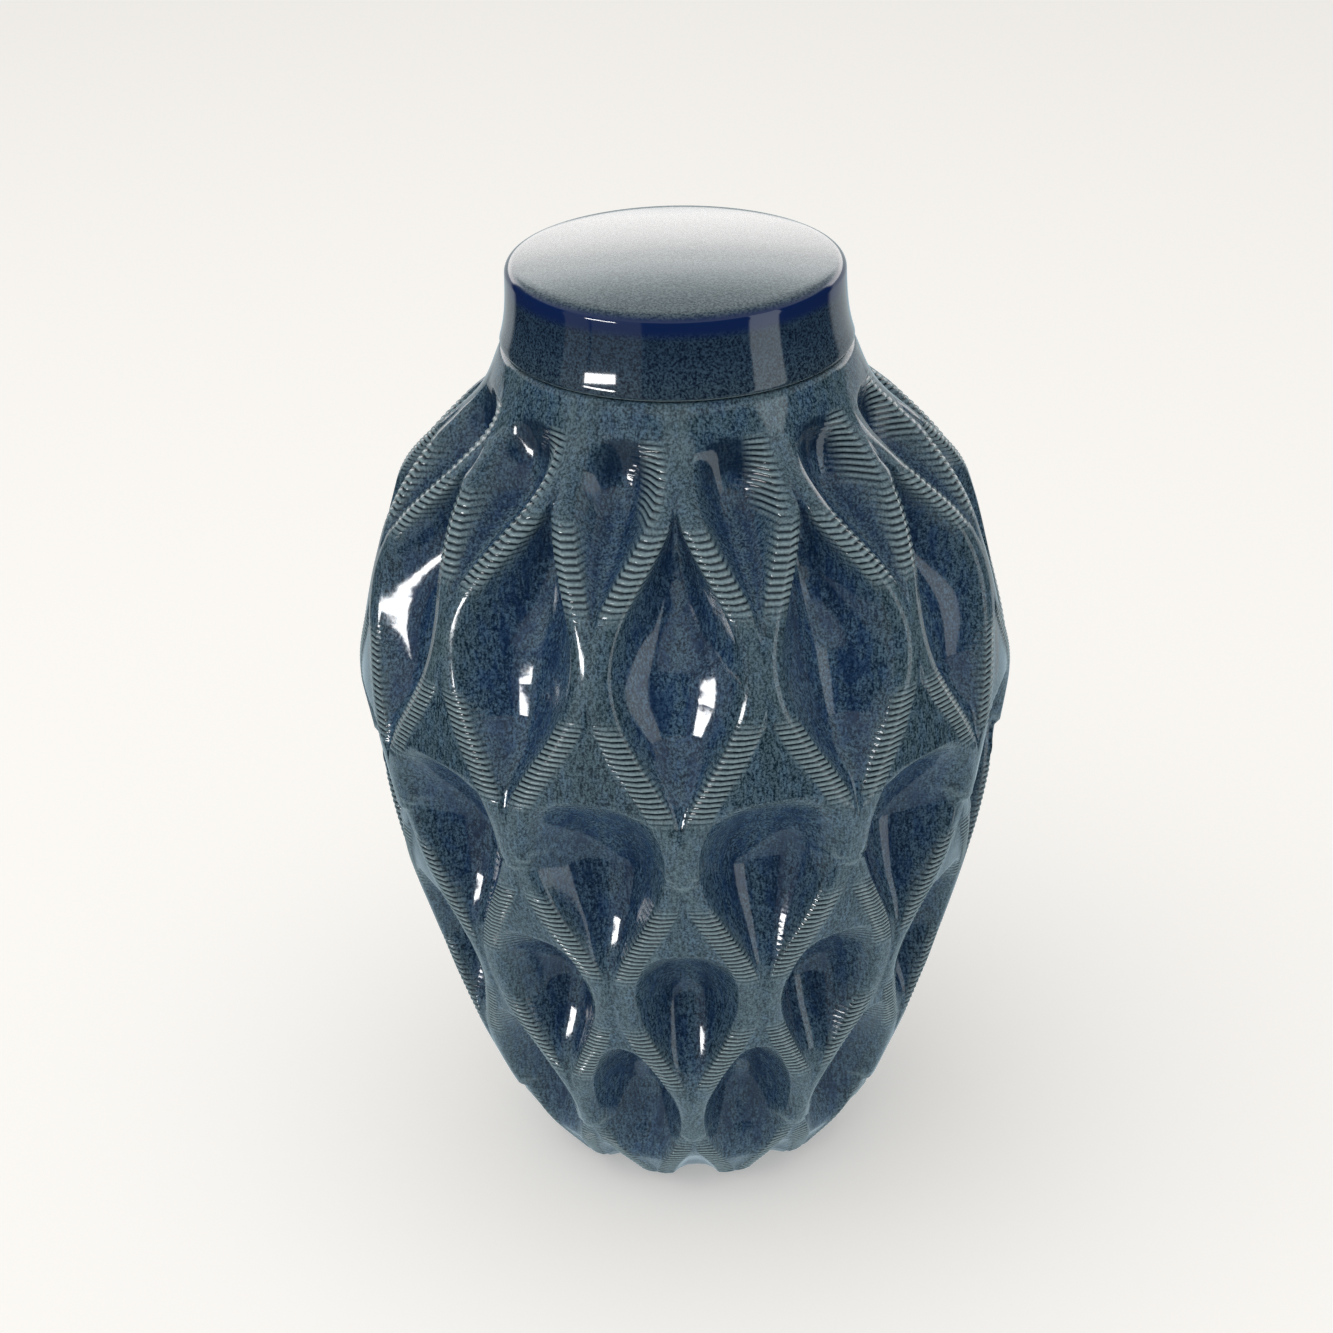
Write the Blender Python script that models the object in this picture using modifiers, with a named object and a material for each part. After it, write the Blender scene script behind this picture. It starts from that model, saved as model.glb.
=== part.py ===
"""Glazed ceramic funeral urn: a hollow carved body and a cap lid that lifts off.

The body is a turned pot whose wall is then carved. Twenty-four ridges run down it in
pairs, and each pair swings apart and together again, so rows of eye-shaped hollows lie
between them, each row half a column round from the next. Metres, +Z up, the origin at
the middle of the underside, a column of hollows facing -Y.
"""

import math

import bpy
import numpy as np

MM = 0.001
COLLECTION = "funeral_urn"

# Crest line of the body: the radius that its ridges reach, at heights from the foot up.
CREST_HEIGHTS = np.array([0.0, 20.0, 45.0, 80.0, 120.0, 157.0, 180.0, 201.0, 215.0, 230.0, 243.0, 257.6]) * MM
CREST_RADII = np.array([43.8, 57.9, 68.9, 78.9, 89.4, 95.0, 92.2, 87.8, 81.8, 69.6, 56.0, 48.8]) * MM

# Wall, foot and neck of the body.
WALL = 6.0 * MM
FOOT_ROUND = 3.5 * MM
FOOT_RECESS_RADIUS = 27.0 * MM
FOOT_RECESS_DEPTH = 1.5 * MM
FLOOR_HEIGHT = 7.5 * MM
FLOOR_COVE = 6.0 * MM
SEAT_HEIGHT = 257.6 * MM
NECK_RADIUS = 43.6 * MM
NECK_COVE = 1.3 * MM
NECK_TOP = 276.4 * MM
MOUTH_RADIUS = 38.5 * MM
MOUTH_LOW = 259.6 * MM
RIM_ROUND = 1.2 * MM

# Lid: a cap whose skirt drops over the neck and flares a little at its edge.
LID_TOP = 283.0 * MM
LID_ARRIS_HEIGHT = 278.0 * MM
LID_ARRIS_RADIUS = 46.7 * MM
LID_CORNER = 2.9 * MM
LID_EDGE_RADIUS = 49.0 * MM
LID_EDGE_HEIGHT = 257.95 * MM
LID_EDGE_ROUND = 1.4 * MM
SKIRT_INNER_RADIUS = 45.0 * MM
SKIRT_COVE = 1.0 * MM
# Depth below the arris, and how far the skirt has flared there.
SKIRT_FLARE = ((9.0 * MM, 0.5 * MM), (14.0 * MM, 1.2 * MM))
REST_GAP = 0.3 * MM

# Pattern of the carving.
COLUMNS = 12
ROW_PITCH = 55.0 * MM
SECOND_ROW_HEIGHT = 197.0 * MM
# Half the angle between the ridges of a pair at row 0, 1, 2 and so on, counted down.
PAIR_HALF_ANGLES = np.radians([7.5, 1.5, 14.0, 0.8, 12.6, 0.8, 14.2, 0.8])
# Row number to (height of its top edge, height of its lower end, lengths over which it falls from the top
# edge and rises to the lower end, drop of the top edge towards the sides, depth, powers of fall and rise).
HOLLOW_ROWS = {
    1: (249.5 * MM, 203.0 * MM, 37.0 * MM, 31.0 * MM, 8.0 * MM, 16.0 * MM, 1.35, 1.2),
    2: (239.0 * MM, 153.0 * MM, 36.0 * MM, 55.0 * MM, 4.0 * MM, 15.5 * MM, 1.0, 1.45),
    3: (161.5 * MM, 96.0 * MM, 28.0 * MM, 39.0 * MM, 6.0 * MM, 17.0 * MM, 0.95, 1.2),
    4: (110.0 * MM, 54.0 * MM, 26.0 * MM, 32.0 * MM, 6.0 * MM, 17.0 * MM, 0.95, 1.15),
    5: (70.0 * MM, 14.0 * MM, 23.0 * MM, 29.0 * MM, 6.0 * MM, 18.0 * MM, 0.95, 1.15),
    6: (20.0 * MM, -40.0 * MM, 16.0 * MM, 40.0 * MM, 1.0 * MM, 6.0 * MM, 1.0, 1.3),
}
# Share of its rise over which a hollow's floor turns softly out to the land below.
SOFT_END = 0.15
# Steps of the throwing that run round inside the second row of hollows: heights from below up, and depths.
GROOVE_HEIGHTS = np.array([153.0, 177.0, 186.0, 193.0, 214.0, 222.0, 239.0]) * MM
GROOVE_DEPTHS = np.array([0.0, 2.9, 0.8, 0.0, 2.4, 2.2, 0.0]) * MM
# Half width of a ridge's flat top, at heights from the foot up, and the rounding of its edges.
RIDGE_HEIGHTS = np.array([0.0, 60.0, 125.0, 170.0, 257.0]) * MM
RIDGE_WIDTHS = np.array([2.2, 2.7, 3.0, 3.3, 3.2]) * MM
RIDGE_ROUND = 0.5 * MM
# Power of a hollow's cross-section, at heights from the foot up: 2 is a round bowl, more is a flatter floor.
BOWL_HEIGHTS = np.array([150.0, 175.0, 215.0, 235.0]) * MM
BOWL_POWERS = np.array([3.0, 2.1, 2.1, 3.0])
# Half width between two crests at which a hollow has its full depth.
FULL_WIDTH = 14.0 * MM
# Between the hollows the plain lands lie a little below the crests.
LAND_DEPTH = 0.9 * MM
LIP_WIDTH = 4.8 * MM
FADE_TOP = 254.0 * MM
FADE_LENGTH = 12.0 * MM
# The inner wall follows the hollows as if they were this much wider, so that it clears their walls.
INNER_SPREAD = 4.5 * MM

# Fineness of the solids: columns from one ridge to the next, and the carved rings' heights.
STEPS_PER_GAP = 3
GAP_STEPS = (-1.0, -0.38, 0.38)
BODY_STEPS = 2 * COLUMNS * STEPS_PER_GAP
RING_STEP = 9.6 * MM
EDGED_ROWS = (1, 3, 4, 5)
EDGE_STEP = 8.0 * MM
LID_STEPS = 36
DOME_RINGS = (0.6,)
MERGE = 0.05 * MM
CLOSE = 0.1 * MM
BODY_SHARP_ANGLE = 50
LID_SHARP_ANGLE = 40

BODY_GLAZE = (0.055, 0.105, 0.160, 1.0)
LID_GLAZE = (0.030, 0.065, 0.145, 1.0)


def smooth(x):
    x = np.clip(x, 0.0, 1.0)
    return x * x * (3 - 2 * x)


def crest_radius(height):
    """Smooth curve through the crest line's points, its slope at each taken from its neighbours."""
    height = np.asarray(height, float)
    slopes = np.gradient(CREST_RADII, CREST_HEIGHTS)
    i = np.clip(np.searchsorted(CREST_HEIGHTS, height) - 1, 0, len(CREST_HEIGHTS) - 2)
    width = CREST_HEIGHTS[i + 1] - CREST_HEIGHTS[i]
    rise = CREST_RADII[i + 1] - CREST_RADII[i]
    t = (height - CREST_HEIGHTS[i]) / width
    a = slopes[i] * width - rise
    b = rise - slopes[i + 1] * width
    return CREST_RADII[i] + t * rise + t * (1 - t) * (a * (1 - t) + b * t)


def length_table():
    """Heights, and the length along the crest line from the lowest of them."""
    heights = np.linspace(-40.0 * MM, CREST_HEIGHTS[-1], 1200)
    steps = np.hypot(np.diff(heights), np.diff(crest_radius(heights)))
    return heights, np.concatenate([[0.0], np.cumsum(steps)])


TABLE_HEIGHTS, TABLE_LENGTHS = length_table()


def length_at(height):
    return np.interp(height, TABLE_HEIGHTS, TABLE_LENGTHS)


def pair_half_angle(height):
    """Half the angle between the two ridges of a pair, swinging from row to row."""
    row = 2.0 - (length_at(height) - length_at(SECOND_ROW_HEIGHT)) / ROW_PITCH
    row = np.clip(row, 0.0, len(PAIR_HALF_ANGLES) - 1.001)
    whole = np.floor(row).astype(int)
    swing = 0.5 - 0.5 * np.cos(math.pi * (row - whole))
    return PAIR_HALF_ANGLES[whole] * (1 - swing) + PAIR_HALF_ANGLES[whole + 1] * swing


def gap_half_angle(gap, height):
    """Gaps 0, 2, 4... lie between the ridges of a pair, and 1, 3, 5... between pairs."""
    pair = pair_half_angle(height)
    return np.where(gap % 2 == 0, pair, math.pi / COLUMNS - pair)


def hollow_depth(gap, across, height, spread):
    """Depth of the hollows: a steep fall from a top edge that arches, then a rise to the lower end.

    Between the ridges of a pair the steps of the throwing come on top.
    """
    here = length_at(height)
    total = np.zeros(np.shape(height))
    for row, (top, bottom, fall, rise, arch_drop, depth, fall_power, rise_power) in HOLLOW_ROWS.items():
        below_edge = np.clip((length_at(top) + spread - arch_drop * across**2 - here) / fall, 0, 1)
        above_end = np.clip((here - length_at(bottom) + spread) / rise, 0, 1)
        above_end = above_end**2 * (1 + SOFT_END) / (above_end + SOFT_END)
        falling = (1 - (1 - below_edge) ** 2) ** fall_power
        rising = 1 - (1 - above_end) ** rise_power
        total += np.where(gap % 2 == row % 2, depth * falling * rising, 0.0)
    return total + np.where(gap % 2 == 0, np.interp(height, GROOVE_HEIGHTS, GROOVE_DEPTHS), 0.0)


def past_ridge(from_crest, width):
    """Distance past the edge of a ridge's flat top: 0 on the crest, growing evenly beyond the edge."""
    beyond = from_crest - width
    return 0.5 * (beyond + np.hypot(beyond, RIDGE_ROUND) + width - np.hypot(width, RIDGE_ROUND))


def carving(gap, across, height, spread=0.0):
    """How far the surface lies inside the crest line, with the hollows widened all round by the spread."""
    half_width = gap_half_angle(gap, height) * crest_radius(height)
    from_crest = (1 - np.abs(across)) * half_width
    ridge = np.interp(height, RIDGE_HEIGHTS, RIDGE_WIDTHS)
    share = np.clip(past_ridge(from_crest + spread, ridge) / past_ridge(half_width, ridge), 0, 1)
    fullness = 1 - (1 - np.clip((half_width + spread) / FULL_WIDTH, 0, 1)) ** 1.5
    wall = (1 - (1 - share) ** np.interp(height, BOWL_HEIGHTS, BOWL_POWERS)) * fullness
    fade = np.clip((FADE_TOP - height) / FADE_LENGTH, 0, 1)
    land = LAND_DEPTH * fade * smooth((from_crest - 0.7 * ridge) / (LIP_WIDTH - 0.7 * ridge))
    return wall * hollow_depth(gap, across, height, spread) + land


def ring_heights():
    """Heights of the carved rings, from the seat down: at each steep edge and evenly between."""
    marks = [SEAT_HEIGHT, FOOT_ROUND]
    for row in EDGED_ROWS:
        top, bottom, fall = HOLLOW_ROWS[row][:3]
        marks += [top, top - EDGE_STEP, top - fall * 0.7]
    marks = sorted(set(marks), reverse=True)
    heights = [marks[0]]
    for upper, lower in zip(marks, marks[1:]):
        count = math.ceil((upper - lower) / RING_STEP)
        heights += [upper + (lower - upper) * (i + 1) / count for i in range(count)]
    return heights


def body_profile():
    """Outline of the plain pot, from its inner floor over the rim to its underside."""
    outer_heights = ring_heights()
    cove_top = FLOOR_HEIGHT + FLOOR_COVE
    inner_heights = [z for z in outer_heights[1::2] if z > cove_top + WALL][::-1]
    floor_edge = float(crest_radius(FLOOR_HEIGHT)) - WALL - FLOOR_COVE
    points = [(0.0, FLOOR_HEIGHT), (floor_edge, FLOOR_HEIGHT)]
    points += [(float(crest_radius(z)) - WALL, z) for z in [cove_top] + inner_heights]
    points += [(MOUTH_RADIUS, MOUTH_LOW), (MOUTH_RADIUS, NECK_TOP - RIM_ROUND)]
    points += [(MOUTH_RADIUS + RIM_ROUND, NECK_TOP), (NECK_RADIUS - RIM_ROUND, NECK_TOP)]
    points += [(NECK_RADIUS, NECK_TOP - RIM_ROUND), (NECK_RADIUS, SEAT_HEIGHT + NECK_COVE)]
    points += [(NECK_RADIUS + NECK_COVE, SEAT_HEIGHT)]
    points += [(float(crest_radius(z)), z) for z in outer_heights]
    foot_centre = (float(crest_radius(0.0)) - FOOT_ROUND, FOOT_ROUND)
    points += arc(foot_centre, FOOT_ROUND, -45, -90, 2)
    points += [(FOOT_RECESS_RADIUS, 0.0), (FOOT_RECESS_RADIUS - FOOT_RECESS_DEPTH, FOOT_RECESS_DEPTH)]
    points += [(0.0, FOOT_RECESS_DEPTH)]
    return points


def lid_profile():
    """Outline of the lid, from the middle of its dome down the skirt and up inside."""
    corner = (LID_ARRIS_RADIUS - LID_CORNER, LID_ARRIS_HEIGHT)
    rim = arc(corner, LID_CORNER, 82, 0, 5)
    dome_drop = LID_TOP - rim[0][1]
    points = [(0.0, LID_TOP)]
    points += [(rim[0][0] * share, LID_TOP - dome_drop * share**2) for share in DOME_RINGS]
    points += rim
    points += [(LID_ARRIS_RADIUS + flare, LID_ARRIS_HEIGHT - below) for below, flare in SKIRT_FLARE]
    edge = (LID_EDGE_RADIUS - LID_EDGE_ROUND, LID_EDGE_HEIGHT + LID_EDGE_ROUND)
    points += arc(edge, LID_EDGE_ROUND, 0, -90, 3)
    ceiling = NECK_TOP + REST_GAP
    points += [(SKIRT_INNER_RADIUS, LID_EDGE_HEIGHT), (SKIRT_INNER_RADIUS, ceiling - SKIRT_COVE)]
    points += [(SKIRT_INNER_RADIUS - SKIRT_COVE, ceiling), (0.0, ceiling)]
    return points


def arc(centre, radius, start, end, count):
    """Points of a round edge in the profile's plane, angles in degrees."""
    angles = np.radians(np.linspace(start, end, count))
    return [(centre[0] + radius * math.cos(a), centre[1] + radius * math.sin(a)) for a in angles]


def turned(name, profile, steps, collection):
    """A profile turned about Z, as a plain mesh object."""
    mesh = bpy.data.meshes.new(name + "_profile")
    mesh.from_pydata([(r, 0.0, z) for r, z in profile], [(i, i + 1) for i in range(len(profile) - 1)], [])
    obj = bpy.data.objects.new(name, mesh)
    collection.objects.link(obj)
    screw = obj.modifiers.new("Turn", "SCREW")
    screw.steps = steps
    screw.render_steps = steps
    screw.use_merge_vertices = True
    screw.merge_threshold = MERGE
    screw.use_smooth_shade = True
    graph = bpy.context.evaluated_depsgraph_get()
    solid = bpy.data.meshes.new_from_object(obj.evaluated_get(graph))
    solid.name = name
    obj.modifiers.clear()
    obj.data = solid
    bpy.data.meshes.remove(mesh)
    return obj


def carve(obj):
    """Moves the pot's points on to the ridges and down into the hollows between them."""
    points = np.empty(len(obj.data.vertices) * 3)
    obj.data.vertices.foreach_get("co", points)
    points = points.reshape(-1, 3)
    radius = np.hypot(points[:, 0], points[:, 1])
    height = points[:, 2]
    # The column of each point, counted from the ridge left of the front.
    turn = np.degrees(np.arctan2(points[:, 1], points[:, 0])) + 90.0
    column = np.rint(turn * BODY_STEPS / 360.0).astype(int) + STEPS_PER_GAP // 2
    gap = (column // STEPS_PER_GAP) % (2 * COLUMNS)
    across = np.array(GAP_STEPS)[column % STEPS_PER_GAP]
    angle = gap * math.pi / COLUMNS + across * gap_half_angle(gap, height) - math.pi / 2
    crest = crest_radius(np.minimum(height, SEAT_HEIGHT))
    outer = (radius > crest - FOOT_ROUND - CLOSE) & (height < SEAT_HEIGHT - CLOSE)
    inner = ~outer & (height > FLOOR_HEIGHT + CLOSE) & (height < SEAT_HEIGHT - CLOSE)
    radius = np.where(outer, radius - carving(gap, across, height), radius)
    radius = np.where(inner, radius - carving(gap, across, height, INNER_SPREAD), radius)
    points[:, 0] = radius * np.cos(angle)
    points[:, 1] = radius * np.sin(angle)
    obj.data.vertices.foreach_set("co", points.reshape(-1))
    obj.data.update()


def glaze(name, colour, roughness):
    material = bpy.data.materials.new(name)
    material.use_nodes = True
    shader = material.node_tree.nodes["Principled BSDF"]
    shader.inputs["Base Color"].default_value = colour
    shader.inputs["Roughness"].default_value = roughness
    shader.inputs["Metallic"].default_value = 0.0
    shader.inputs["Coat Weight"].default_value = 0.6
    return material


def make_body(collection):
    body = turned("urn_body", body_profile(), BODY_STEPS, collection)
    carve(body)
    body.data.shade_smooth()
    body.data.set_sharp_from_angle(angle=math.radians(BODY_SHARP_ANGLE))
    body.data.materials.append(glaze("body_glaze", BODY_GLAZE, 0.12))


def make_lid(collection):
    lid = turned("lid", lid_profile(), LID_STEPS, collection)
    lid.data.shade_smooth()
    lid.data.set_sharp_from_angle(angle=math.radians(LID_SHARP_ANGLE))
    lid.data.materials.append(glaze("lid_glaze", LID_GLAZE, 0.10))


def main():
    for obj in list(bpy.data.objects):
        bpy.data.objects.remove(obj, do_unlink=True)
    collection = bpy.data.collections.new(COLLECTION)
    bpy.context.scene.collection.children.link(collection)
    make_body(collection)
    make_lid(collection)


main()
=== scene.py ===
"""Looks of a glazed ceramic funeral urn, laid out as an add-on and run as a script.

The body is a turned and carved pot made by geometry nodes from one profile, its ridges
cut in fine level layers. The lid is a turned cap. Both wear a glossy blue-green glaze
that pools dark in the hollows and breaks pale on the ridges.
"""

import math

import bmesh
import bpy
import numpy as np
from mathutils import Matrix, Vector


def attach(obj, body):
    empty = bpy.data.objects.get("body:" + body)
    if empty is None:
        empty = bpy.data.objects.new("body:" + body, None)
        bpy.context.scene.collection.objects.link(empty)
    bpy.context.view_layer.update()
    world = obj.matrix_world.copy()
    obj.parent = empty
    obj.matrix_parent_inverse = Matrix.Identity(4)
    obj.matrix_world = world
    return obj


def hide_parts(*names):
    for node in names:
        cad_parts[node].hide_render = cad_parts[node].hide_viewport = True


bl_info = {
    "name": "Funeral Urn",
    "version": (1, 0, 0),
    "blender": (4, 5, 0),
    "location": "View3D > Sidebar > Urn",
    "description": "Builds a carved, glazed funeral urn with its lid on a plain stage",
    "category": "Add Mesh",
}

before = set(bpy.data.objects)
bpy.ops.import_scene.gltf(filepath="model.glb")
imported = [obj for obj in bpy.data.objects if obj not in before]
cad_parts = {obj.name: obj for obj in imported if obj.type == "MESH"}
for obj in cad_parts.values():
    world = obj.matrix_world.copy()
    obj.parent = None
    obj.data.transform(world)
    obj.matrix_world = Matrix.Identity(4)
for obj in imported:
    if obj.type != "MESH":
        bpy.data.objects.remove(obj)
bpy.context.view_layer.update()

MM = 0.001

# Crest line of the body: the radius that its ridges reach, at heights from the foot up.
CREST_HEIGHTS = np.array([0.0, 20.0, 45.0, 80.0, 120.0, 157.0, 180.0, 201.0, 215.0, 230.0, 243.0, 257.6]) * MM
CREST_RADII = np.array([43.8, 57.9, 68.9, 78.9, 89.4, 95.0, 92.2, 87.8, 81.8, 69.6, 56.0, 48.8]) * MM

# The solid's widest radius.
WIDEST_RADIUS = 94.95 * MM

# Wall, foot, neck and lid of the urn.
WALL = 6.0 * MM
FOOT_ROUND = 3.5 * MM
FOOT_RECESS_RADIUS = 27.0 * MM
FOOT_RECESS_DEPTH = 1.5 * MM
FLOOR_HEIGHT = 7.5 * MM
FLOOR_COVE = 6.0 * MM
SEAT_HEIGHT = 257.6 * MM
NECK_RADIUS = 43.6 * MM
NECK_COVE = 1.3 * MM
NECK_TOP = 276.4 * MM
MOUTH_RADIUS = 38.5 * MM
MOUTH_LOW = 259.6 * MM
RIM_ROUND = 1.2 * MM
LID_TOP = 283.0 * MM
LID_ARRIS_HEIGHT = 278.0 * MM
LID_ARRIS_RADIUS = 46.7 * MM
LID_CORNER = 2.9 * MM
LID_EDGE_RADIUS = 49.0 * MM
LID_EDGE_HEIGHT = 257.95 * MM
LID_EDGE_ROUND = 1.4 * MM
SKIRT_INNER_RADIUS = 45.0 * MM
SKIRT_COVE = 1.0 * MM
SKIRT_BEVEL = 0.4 * MM
# Share of the skirt's flare that is straight. The rest curves out low down.
STRAIGHT_FLARE = 0.22
REST_GAP = 0.3 * MM

# Pattern of the carving.
COLUMNS = 12
ROW_PITCH = 55.0 * MM
SECOND_ROW_HEIGHT = 197.0 * MM
# Half the angle between the ridges of a pair at row 0, 1, 2 and so on, counted down.
PAIR_HALF_ANGLES = np.radians([7.5, 1.5, 14.0, 0.6, 12.6, 0.6, 14.5, 0.6])
# Row number to (height of its top edge, height of its lower end, lengths over which it falls from the top
# edge and rises to the lower end, drop of the top edge towards the sides, depth, powers of fall and rise).
HOLLOW_ROWS = {
    1: (249.5 * MM, 203.0 * MM, 37.0 * MM, 31.0 * MM, 8.0 * MM, 16.0 * MM, 1.35, 1.2),
    2: (239.0 * MM, 153.0 * MM, 36.0 * MM, 55.0 * MM, 4.0 * MM, 15.5 * MM, 1.0, 1.45),
    3: (161.5 * MM, 96.0 * MM, 28.0 * MM, 39.0 * MM, 6.0 * MM, 17.0 * MM, 0.95, 1.2),
    4: (110.0 * MM, 54.0 * MM, 26.0 * MM, 32.0 * MM, 6.0 * MM, 17.0 * MM, 0.95, 1.15),
    5: (70.0 * MM, 14.0 * MM, 23.0 * MM, 29.0 * MM, 6.0 * MM, 18.0 * MM, 0.95, 1.15),
    6: (20.0 * MM, -40.0 * MM, 16.0 * MM, 40.0 * MM, 1.0 * MM, 6.0 * MM, 1.0, 1.3),
}
# Share of its rise over which a hollow's floor turns softly out to the land below.
SOFT_END = 0.15
# Steps of the throwing that run round inside the second row of hollows: heights from below up, and depths.
GROOVE_HEIGHTS = np.array([153.0, 177.0, 186.0, 193.0, 214.0, 222.0, 239.0]) * MM
GROOVE_DEPTHS = np.array([0.0, 2.9, 0.8, 0.0, 2.4, 2.2, 0.0]) * MM
# Power of a hollow's cross-section, at heights from the foot up: 2 is a round bowl, more is a flatter floor.
BOWL_HEIGHTS = np.array([150.0, 175.0, 215.0, 235.0]) * MM
BOWL_POWERS = np.array([3.0, 2.1, 2.1, 3.0])
# Where the lands between the hollows rise to the crests again, below the seat of the lid.
FADE_TOP = 254.0 * MM
FADE_LENGTH = 12.0 * MM
# How much wider the hollows are on the inside of the wall, and the height from one inner row to the next.
INNER_SPREAD = 4.5 * MM
INNER_STEP = 12.0 * MM
# Tips of the tongues in which the ridges of a pair end where they close.
TONGUE_TIPS = (136.0 * MM, 28.5 * MM)
TONGUE_LENGTH = 20.0 * MM
TONGUE_EDGE = 1.3 * MM
TONGUE_ROUND = 3.4 * MM
# Layers on the right-hand walls of the first row of hollows: lowest and highest with the lengths over which
# they fade, and how far from the crest.
WALL_LAYERS = (228.0 * MM, 249.5 * MM)
WALL_LAYERS_FADES = (5.0 * MM, 3.0 * MM)
WALL_LAYERS_REACH = 8.5 * MM
# Where the glaze is thin in the first row of hollows: lowest and highest.
THIN_GLAZE = (196.0 * MM, 239.0 * MM)
THIN_GLAZE_FADE = 6.0 * MM
# Depth of a hollow at which the glaze pools fully.
POOL_DEPTH = 9.0 * MM
# Heights over which the glaze also pools between the ridges, down to the foot and up to the shoulder.
POOLED_FOOT = (18.0 * MM, 36.0 * MM)
POOLED_SHOULDER = (236.0 * MM, 246.0 * MM)
# Reach of a pair's closed ridges from the middle of the pair, and where it has faded out.
PAIR_REACH = (4.5 * MM, 7.0 * MM)
# Half width of a ridge's flat top, at heights from the foot up, and the rounding of its edges.
RIDGE_HEIGHTS = np.array([0.0, 60.0, 125.0, 170.0, 257.0]) * MM
RIDGE_WIDTHS = np.array([2.2, 2.7, 3.0, 3.3, 3.2]) * MM
RIDGE_ROUND = 0.5 * MM
# Part of a layer's height that its rounded face takes. The rest is the cut.
BEAD_SHARE = 0.84
# Part of a layer's height up to which its edge is upright. Above, it turns to the next layer's edge.
UPRIGHT_SHARE = 0.6
# Sideways per upwards that a ridge leans where layers begin to show, and where they show fully.
LAYERS_LEAN = (0.26, 0.40)
# How much the slope of the body adds to that lean.
SLOPE_ADDS = 0.35
# Below the shoulder's collar the layers show: from here they fade towards the lid.
LAYERS_TOP = (247.5 * MM, 252.5 * MM)
# Distance of a ridge from the middle of its pair where layers begin to show, at heights from the foot up.
CLOSED_HEIGHTS = np.array([26.0, 34.0]) * MM
CLOSED_REACH = np.array([0.8, 3.2]) * MM
CLOSED_FADE = 3.0 * MM
# Strength under which a layer is left out.
FAINTEST_LAYER = 0.22
# Rows of points in a layer, and the strength of the layers above which all of them are kept.
ROWS_PER_LAYER = 3
CLOSE_ROWS = 0.03

# How far the floor shows in the glaze, in front of the urn and beside it.
FLOOR_REACH = 0.30
# The studio as it shows in the glaze: how bright each part is, and where it is, in degrees. The panels are
# measured to the right from the front, the ceiling upwards, and the back either way round from a front that
# is turned to the left.
DARK_LEVEL = 0.02
LEFT_PANEL = (-78.0, -21.0)
LEFT_PANEL_GAP = (-58.5, -56.0)
LEFT_PANEL_LEVEL = 0.38
RIGHT_PANEL = (49.0, 73.0)
RIGHT_PANEL_LEVEL = 1.9
CEILING_EDGE = (19.0, 23.0)
CEILING_LEVEL = 0.43
BACK_TURN = 5.0
BACK_EDGE = (126.0, 133.0)
BACK_LEVEL = 3.2
LOW_BACK_LEVEL = 0.7
# The camera: where it is before its turn round the urn, and its turn and tilt in degrees.
CAMERA_PLACE = (0.0411, -0.699, 0.5236)
CAMERA_TURN = -1.6
CAMERA_TILT = 27.83
CAMERA_LENS = 72.5
CAMERA_SHIFT = -0.12

FLOAT = "NodeSocketFloat"


# Shape of the ridges, as numbers for the rows of the profile.


def smooth(x):
    x = np.clip(x, 0.0, 1.0)
    return x * x * (3 - 2 * x)


def crest_radius(height):
    """Smooth curve through the crest line's points, its slope at each taken from its neighbours."""
    height = np.asarray(height, float)
    slopes = np.gradient(CREST_RADII, CREST_HEIGHTS)
    i = np.clip(np.searchsorted(CREST_HEIGHTS, height) - 1, 0, len(CREST_HEIGHTS) - 2)
    width = CREST_HEIGHTS[i + 1] - CREST_HEIGHTS[i]
    rise = CREST_RADII[i + 1] - CREST_RADII[i]
    t = (height - CREST_HEIGHTS[i]) / width
    a = slopes[i] * width - rise
    b = rise - slopes[i + 1] * width
    return CREST_RADII[i] + t * rise + t * (1 - t) * (a * (1 - t) + b * t)


def length_table():
    """Heights, and the length along the crest line from the lowest of them."""
    heights = np.linspace(-40.0 * MM, CREST_HEIGHTS[-1], 1200)
    steps = np.hypot(np.diff(heights), np.diff(crest_radius(heights)))
    return heights, np.concatenate([[0.0], np.cumsum(steps)])


TABLE_HEIGHTS, TABLE_LENGTHS = length_table()


def length_at(height):
    return np.interp(height, TABLE_HEIGHTS, TABLE_LENGTHS)


def pair_half_angle(height):
    """Half the angle between the two ridges of a pair, swinging from row to row."""
    row = 2.0 - (length_at(height) - length_at(SECOND_ROW_HEIGHT)) / ROW_PITCH
    row = np.clip(row, 0.0, len(PAIR_HALF_ANGLES) - 1.001)
    whole = np.floor(row).astype(int)
    swing = 0.5 - 0.5 * np.cos(math.pi * (row - whole))
    return PAIR_HALF_ANGLES[whole] * (1 - swing) + PAIR_HALF_ANGLES[whole + 1] * swing


def stepped_height(height, pitch):
    """The height at which a layer's edge was cut: the same through a layer, then on to the next."""
    layer = np.floor(height / pitch)
    return (layer + smooth((height / pitch - layer - UPRIGHT_SHARE) / (1 - UPRIGHT_SHARE))) * pitch


def bead(height, pitch):
    """Rounded face of a layer: 0 in the cut between two layers, 1 at the middle of one."""
    share = height / pitch - np.floor(height / pitch)
    return np.sqrt(np.clip(1 - (2 * np.clip(share / BEAD_SHARE, 0, 1) - 1) ** 2, 0, 1))


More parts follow.
